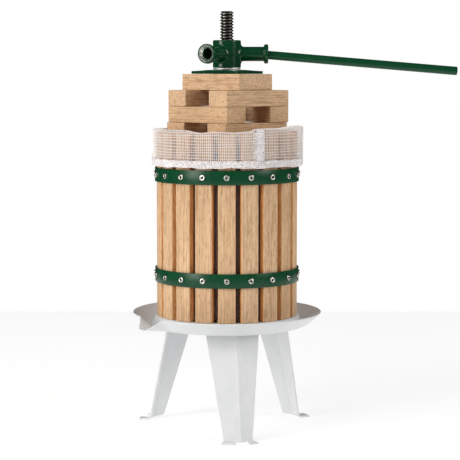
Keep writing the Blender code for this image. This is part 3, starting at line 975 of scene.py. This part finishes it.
def build_net():
    """The net itself, of real threads, which stores a painted shade weight for the lining
    threads below the fold.
    """
    mesh = thread_mesh("bag_net", THREAD_W / 2, THREAD_T / 2,
                       (upright_threads(), False), (ring_threads(), True))
    net = piece("bag_net", mesh, "basket", ["filter_bag"], sharp=120)
    # Painted shade weight: 0 near the fold and on the flap, rising to 1 on the lining a little
    # lower down.
    painted_lining_shade = []
    for vert in net.data.vertices:
        near = hypot(vert.co.x, vert.co.y) < LINING_R + 2 * MM
        painted_lining_shade.append(smooth_step((FOLD_Z - 6 * MM - vert.co.z) / (12 * MM)) if near else 0.0)
    store(net, "painted_lining_shade", "FLOAT", painted_lining_shade)
    return paint(net, YARN)


def build_hem():
    """The doubled band round the flap's lower edge."""
    around = 22
    bm = bmesh.new()
    rings, flat = [], []
    for i in range(HEM_SIDES):
        azimuth = 360 * i / HEM_SIDES
        a = radians(azimuth)
        r = FLAP_R + ripple(azimuth, 1.0)
        sway = 0.7 * MM * sin(9 * a + 1) + 0.45 * MM * sin(23 * a)
        top = HEM_TOP + 0.5 * MM * sin(31 * a) + 0.3 * MM * sin(117 * a)
        low = HEM_END + sway + 0.25 * MM * sin(131 * a)
        outline = []
        for k in range(around):
            t = 2 * pi * k / around
            z = (top + low) / 2 + (top - low) / 2 * cos(t)
            rib = sin(a * HEM_RIBS + (z - HEM_END) / (0.75 * MM))
            edge = abs(cos(t)) ** 4
            fat = 0.85 * MM * (1 + 0.3 * rib * (1 - edge) + 0.5 * edge)
            outline.append((r + fat * sin(t) * (0.75 + 0.25 * abs(cos(t))), z))
            flat.append((a * FLAP_R, z, 0))
        rings.append([bm.verts.new(polar(azimuth, *point)) for point in outline])
    ring_faces(bm, rings)
    hem = piece("bag_hem", bm, "basket", sharp=80)
    store(hem, "band", "FLOAT_VECTOR", flat)
    return paint(hem, BAND)


def build_seam():
    """The bag's side seam: a doubled strip that runs over the fold and down the flap."""
    bm = bmesh.new()
    rows, flat = [], []
    for j in range(len(meridian(SEAM_AZ)) - SEAM_START):
        outside = meridian(SEAM_AZ)[SEAM_START + j][0] > LINING_R + 2 * MM
        side = 1 if outside else -1
        wide = SEAM_W + 0.8 * MM * sin(2.3 * j) + 0.5 * MM * sin(5.1 * j)
        row = []
        for k in range(SEAM_COLUMNS):
            azimuth = SEAM_AZ + degrees((k / (SEAM_COLUMNS - 1) - 0.5) * wide / FLAP_R)
            r, z = meridian(azimuth)[SEAM_START + j]
            top = smooth_step((z - FOLD_Z) / (2 * MM))
            puff = 0.9 * MM * (0.85 + 0.3 * sin(1.9 * j + k))
            row.append(bm.verts.new(polar(azimuth, r + puff * (1 - top) * side, z + puff * top)))
            flat.append((radians(azimuth) * FLAP_R, z - r, 0))
        rows.append(row)
    ring_faces(bm, rows, closed_ring=False, closed_row=False)
    seam = piece("bag_seam", bm, "basket", sharp=80)
    store(seam, "band", "FLOAT_VECTOR", flat)
    solidify(seam, 0.7 * MM)
    return paint(seam, BAND)


def build_seam_ends():
    """Short yarn ends that stand out from the seam's left edge."""
    lines = []
    height = FOLD_Z - HEM_TOP
    out = facing(SEAM_AZ)[0]
    for i in range(SEAM_ENDS):
        z = HEM_TOP + height * (i + chance.uniform(-0.3, 0.3)) / SEAM_ENDS
        reach = chance.uniform(3, 10) * MM
        tilt = chance.uniform(-1.5, 1.5) * MM
        points = []
        for k in range(5):
            along = SEAM_W / 2 - 2 * MM + (reach + 2 * MM) * k / 4
            azimuth = SEAM_AZ - degrees(along / FLAP_R)
            r = FLAP_R + ripple(azimuth, 0.5) + (0.9 - 0.5 * k / 4) * MM
            points.append(polar(azimuth, r, z + tilt * k / 4))
        lines.append((points, [Vector((0, 0, 1))] * 5, [out] * 5))
    mesh = thread_mesh("bag_seam_ends", 0.6 * MM, 0.4 * MM, (lines, False))
    return paint(piece("bag_seam_ends", mesh, "basket", sharp=120), YARN)


def build_bag():
    """Net, hem, seam and loose ends."""
    net, hem, seam = build_net(), build_hem(), build_seam()
    ends = build_seam_ends()


# ---- press stack

STACK_TURN = radians(43.6)
DISC_FOOT_Z = 480 * MM
DISC_R = 105 * MM
DISC_GAP = 0.3 * MM
NOTCH_R = 13.5 * MM
BLOCK_L = 146 * MM
BLOCK_W = 44 * MM
TOP_BLOCK = (78 * MM, 142 * MM)
ROW_SHIFT = 2.5 * MM


def build_discs():
    """Two half discs with a notch round the screw."""
    outline = [
        (radius * cos(a), max(abs(radius) * sin(a), DISC_GAP))
        for radius, steps in ((DISC_R, 48), (-NOTCH_R, 16))
        for a in (pi * i / steps for i in range(steps + 1))
    ]
    for name, side in (("half_disc_left", 1), ("half_disc_right", -1)):
        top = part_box(name)[1].z
        bm = bmesh.new()
        low, high = (
            [bm.verts.new((x, side * y, z)) for x, y in outline] for z in (DISC_FOOT_Z, top)
        )
        ring_faces(bm, [low, high], closed_row=False)
        bm.faces.new(low)
        bm.faces.new(high)
        made = piece(name + "_wood", bm, "press_stack", [name],
                     turn=STACK_TURN + pi / 2)
        wood(made, "X", 0.15)
        bevel(made, 1.0 * MM, 2)


def build_blocks():
    """Crossed pairs of blocks under one wide block, with broken edges."""
    off = (BLOCK_L - BLOCK_W) / 2
    rows = ((0, 0.0), (pi / 2, ROW_SHIFT), (0, ROW_SHIFT))
    for i, (turn, shift) in enumerate(rows):
        for side, word in ((-1, "near"), (1, "far")):
            name = f"block_row{i + 1}_{word}"
            z0, z1 = (corner.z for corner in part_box(name))
            bm = box_mesh((BLOCK_L, BLOCK_W, z1 - z0), (0, side * off, (z0 + z1) / 2))
            made = piece(name + "_wood", bm, "press_stack", [name],
                         at=AXIS + Vector((shift, 0, 0)), turn=STACK_TURN + turn)
            wood(made, "X", chance.uniform(0.1, 0.5))
            bevel(made, 1.1 * MM, 3)
    low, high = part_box("block_top")
    bm = box_mesh((*TOP_BLOCK, high.z - low.z), (0, 0, (low.z + high.z) / 2))
    made = piece("block_top_wood", bm, "press_stack", ["block_top"], turn=STACK_TURN)
    cut(made, lathe([(NOTCH_R, low.z - 0.01), (NOTCH_R, high.z + 0.01)], 40))
    wood(made, "Y", 0.45, pith=(0.05, 0.03))
    bevel(made, 1.1 * MM, 3)


# ---- castings from fields


def soft_min(a, b, blend):
    """The smaller of two fields, with a fillet of about that radius."""
    h = np.clip(0.5 + 0.5 * (b - a) / blend, 0, 1)
    return b + (a - b) * h - blend * h * (1 - h)


def soft_max(a, b, blend):
    """The larger of two fields, with the edge rounded."""
    return -soft_min(-a, -b, blend)


def field_mesh(field, low, high, step):
    """The zero surface of a distance field, meshed on a fine grid."""
    counts = [int((h - b) / step) + 2 for b, h in zip(low, high)]
    axes = [np.float32(b) + np.float32(step) * np.arange(n, dtype=np.float32)
            for b, n in zip(low, counts)]
    x, y, z = np.meshgrid(*axes, indexing="ij", sparse=True)
    values = np.broadcast_to(field(x, y, z), counts).astype(np.float32)
    grid = openvdb.FloatGrid(float(values.max()))
    grid.copyFromArray(np.ascontiguousarray(values / step))
    points, quads = grid.convertToQuads(isovalue=0.0)
    points = points * step + np.array(low)
    return to_bmesh(points.tolist(), quads[:, ::-1].tolist())


FIELD_PAD = 2 * MM
HEAD_LOW, HEAD_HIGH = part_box("head")
SOCKET_Z = 643.6 * MM
BARREL_R = 24 * MM
ARM_R = 12.35 * MM
ARM_END = 70.6 * MM
COLLAR_R = 16.5 * MM
COLLAR_W = 7 * MM
SOCKET_R = 9.3 * MM
SOCKET_FLOOR = 23 * MM
SOCKET_CONE_H = 5 * MM
SOCKET_CONE_W = 3.6 * MM
MOUTH_SKIN = 0.25 * MM


def head_field(x, y, z):
    """Barrel and three collared arms, filleted, less the bores."""
    base, top = HEAD_LOW.z, HEAD_HIGH.z
    rho = np.sqrt(x * x + y * y)
    mid, half = (base + top) / 2, (top - base) / 2
    body = soft_max(rho - BARREL_R, np.abs(z - mid) - half, 2.0 * MM)
    up = z - SOCKET_Z
    bores = []
    for i in range(3):
        a = 2 * pi * i / 3
        u = x * cos(a) + y * sin(a)
        v = y * cos(a) - x * sin(a)
        r = np.sqrt(v * v + up * up)
        arm = np.maximum(r - ARM_R, np.abs(u - ARM_END / 2) - ARM_END / 2 + 1 * MM)
        body = soft_min(body, arm, 6.0 * MM)
        collar_mid = ARM_END - COLLAR_W / 2
        collar = soft_max(r - COLLAR_R, np.abs(u - collar_mid) - COLLAR_W / 2, 2.2 * MM)
        body = soft_min(body, collar, 2.4 * MM)
        mouth = np.maximum(u - ARM_END + SOCKET_CONE_H, 0) * (SOCKET_CONE_W / SOCKET_CONE_H)
        bores.append(np.maximum(r - SOCKET_R - mouth, SOCKET_FLOOR - u))
    for bore in bores:
        body = soft_max(body, -bore * 0.8, 1.0 * MM)
    return soft_max(body, SCREW_R + 0.25 * MM - rho, 1.2 * MM)


def build_head():
    """The cast head, meshed from its field."""
    low = [corner - centre - FIELD_PAD for corner, centre in zip(HEAD_LOW, AXIS)]
    high = [corner - centre + FIELD_PAD for corner, centre in zip(HEAD_HIGH, AXIS)]
    bm = field_mesh(head_field, low, high, 0.75 * MM)
    head = piece("head_casting", bm, "head", ["head"], sharp=75)
    paint(head, GREEN_CAST)
    build_mouths()


def build_mouths():
    """The bare machined cones at the sockets' mouths."""
    bore, mouth = SOCKET_R - MOUTH_SKIN, SOCKET_R - MOUTH_SKIN + SOCKET_CONE_W
    inner = ARM_END - SOCKET_CONE_H
    section = [
        (bore + 0.1 * MM, inner - 1 * MM), (bore + 0.1 * MM, inner),
        (mouth, ARM_END - 0.2 * MM), (mouth + 0.4 * MM, ARM_END + 0.1 * MM),
        (mouth + 0.6 * MM, ARM_END - 0.4 * MM), (bore + 0.7 * MM, inner - 1 * MM),
    ]
    whole = bmesh.new()
    for i in range(3):
        cone = lathe(rounded(section, 0.2 * MM, 2), 64, closed=True)
        lie = Matrix.Translation((0, 0, SOCKET_Z)) @ Matrix.Rotation(2 * pi * i / 3, 4, "Z")
        bmesh.ops.transform(cone, matrix=lie @ Matrix.Rotation(pi / 2, 4, "Y"), verts=cone.verts)
        part = to_mesh(cone, "cone")
        whole.from_mesh(part)
        bpy.data.meshes.remove(part)
    mouths = piece("head_mouths", whole, "head", sharp=50)
    paint(mouths, MACHINED)


PLATE_L = 116 * MM
PLATE_W = 62 * MM
PLATE_H = 4.5 * MM
PLATE_FOOT_Z = 610 * MM
PLATE_CORNER = 3 * MM
BOSS_R = 29 * MM
PLATE_FIELD_H = 12 * MM


def plate_field(x, y, z):
    """A flat foot under a bevelled boss, with the screw's hole."""
    base, top = PLATE_FOOT_Z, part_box("press_plate")[1].z
    foot_half = PLATE_H / 2
    dx = np.abs(x) - PLATE_W / 2 + PLATE_CORNER
    dy = np.abs(y) - PLATE_L / 2 + PLATE_CORNER
    flat = np.sqrt(np.maximum(dx, 0) ** 2 + np.maximum(dy, 0) ** 2) - PLATE_CORNER
    foot = soft_max(flat, np.abs(z - base - foot_half) - foot_half, 1.4 * MM)
    rho = np.sqrt(x * x + (y * 0.82) ** 2)
    slope = (rho - BOSS_R) * 0.1 + (z - top) * 0.9
    boss = soft_max(slope, z - top, 0.6 * MM)
    boss = np.maximum(np.maximum(boss, base + 1 * MM - z), flat + 1.5 * MM)
    whole = soft_min(foot, boss, 1.5 * MM)
    hole = np.sqrt(x * x + y * y) - SCREW_R - 1 * MM
    return soft_max(whole, -hole, 0.8 * MM)


def build_plate():
    """The cast press plate."""
    pad = FIELD_PAD
    low = (-PLATE_W / 2 - pad, -PLATE_L / 2 - pad, PLATE_FOOT_Z - pad)
    high = (PLATE_W / 2 + pad, PLATE_L / 2 + pad, PLATE_FOOT_Z + PLATE_FIELD_H)
    bm = field_mesh(plate_field, low, high, 0.7 * MM)
    plate = piece("press_plate_casting", bm, "press_stack",
                  ["press_plate"], turn=STACK_TURN, sharp=75)
    paint(plate, GREEN_CAST)


def build_washer():
    """The pale thrust washer between the plate and the head."""
    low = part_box("press_plate")[1].z + 0.3 * MM
    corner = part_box("thrust_washer")[1]
    section = strip_section(SCREW_R + 0.3 * MM, corner.x - AXIS.x, low, corner.z, 0.9 * MM, 3)
    washer = piece("thrust_washer_turned", lathe(section, 96, closed=True), "press_stack",
                   ["thrust_washer"], sharp=60)
    paint(washer, SATIN)


BAR_R = 7.3 * MM
BAR_DROOP = radians(4.8)
BAR_INSERT = 45 * MM
BAR_CHAMFER = 1.4 * MM


def build_bar():
    """The round bar with turned ends, drooping a little in its socket."""
    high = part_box("handle_bar")[1]
    reach = high.x - AXIS.x - BAR_R * sin(BAR_DROOP)
    centre = ARM_END - BAR_INSERT / 2
    inner, outer = -BAR_INSERT / 2, (reach - centre) / cos(BAR_DROOP)
    c = BAR_CHAMFER
    outline = [(BAR_R - c, inner)]
    outline += [(BAR_R, inner + c + (outer - inner - 2 * c) * i / 12) for i in range(12)]
    outline += [(BAR_R, outer - c), (BAR_R - 0.5 * c, outer - 0.3 * c), (BAR_R - 1.2 * c, outer)]
    bm = lathe(outline, 48)
    lie = Matrix.Translation((centre, 0, SOCKET_Z)) @ Matrix.Rotation(
        pi / 2 + BAR_DROOP, 4, "Y"
    )
    bmesh.ops.transform(bm, matrix=lie, verts=bm.verts)
    bar = piece("bar_enamelled", bm, "bar", ["handle_bar"], sharp=35)
    paint(bar, GREEN)


# ---- screw

PITCH = 5 * MM
ROOT_R = 8.9 * MM
TURN_STEPS = 32
SCREW_FOOT_Z = 158 * MM
SCREW_CHAMFER = 2.2 * MM
# The thread's section over one turn, as (radius, share of the pitch).
THREAD_SECTION = ((ROOT_R, 0.0), (ROOT_R, 0.14), (SCREW_R, 0.42), (SCREW_R, 0.68))


def build_screw():
    """The screw with its real helical thread, cut off square with a chamfer."""
    z0, z1 = SCREW_FOOT_Z, SCREW_HIGH.z
    start = z0 - 1.5 * PITCH
    count = TURN_STEPS * (int((z1 - z0) / PITCH) + 4)
    verts = []
    for i in range(count + TURN_STEPS):
        a = 2 * pi * i / TURN_STEPS
        for r, share in THREAD_SECTION:
            verts.append((r * cos(a), r * sin(a), start + PITCH * (i / TURN_STEPS + share)))
    n = len(THREAD_SECTION)
    faces = []
    for i in range(count):
        a, b = i * n, (i + 1) * n
        for j in range(n - 1):
            faces.append((a + j, b + j, b + j + 1, a + j + 1))
        if i + 1 < count:
            turn = TURN_STEPS * n
            faces.append((a + n - 1, b + n - 1, b + turn, a + turn))
    bm = to_bmesh(verts, faces)
    loose = [v for v in bm.verts if not v.link_faces]
    bmesh.ops.delete(bm, geom=loose, context="VERTS")
    edges = [e for e in bm.edges if e.is_boundary]
    bmesh.ops.holes_fill(bm, edges=edges, sides=0)
    bmesh.ops.triangulate(bm, faces=[f for f in bm.faces if len(f.verts) > 4])
    screw = piece("screw_threaded", bm, "stand", ["screw"], sharp=50)
    c, crest_r = SCREW_CHAMFER, SCREW_R + 0.1 * MM
    trim = [(crest_r - c, z0), (crest_r, z0 + c), (crest_r, z1 - c), (crest_r - c, z1)]
    cut(screw, lathe(trim, 48), "INTERSECT")
    depth = SCREW_R - ROOT_R
    store(screw, "crest", "FLOAT", [
        min(max((hypot(vert.co.x, vert.co.y) - ROOT_R) / depth, 0), 1)
        for vert in screw.data.vertices
    ])
    screw.data.shade_smooth()
    screw.data.set_sharp_from_angle(angle=radians(40))
    paint(screw, THREAD)


# ---- fasteners


def build_fasteners():
    """Washer, nuts and bolts: the CAD shapes with softened edges."""
    for name, obj in frame["nodes"].items():
        if "nut" in name or "bolt" in name or name == "screw_washer":
            bm = bmesh.new()
            bm.from_mesh(obj.data)
            place = Matrix.Translation(-AXIS) @ obj.matrix_world
            bmesh.ops.transform(bm, matrix=place, verts=bm.verts)
            dark = name in ("screw_lower_nut", "screw_upper_nut")
            made = piece(name + "_softened", bm, "stand", [name])
            bevel(made, 0.35 * MM, 2, 40)
            paint(made, BLACKED if dark else ZINC)


build_stage()
build_tray()
for leg_name, leg_azimuth in LEG_AZIMUTHS.items():
    build_leg(leg_name, leg_azimuth)
build_staves()
build_hoop("upper_hoop")
build_hoop("lower_hoop")
build_bag()
build_discs()
build_blocks()
build_plate()
build_washer()
build_head()
build_bar()
build_screw()
build_fasteners()
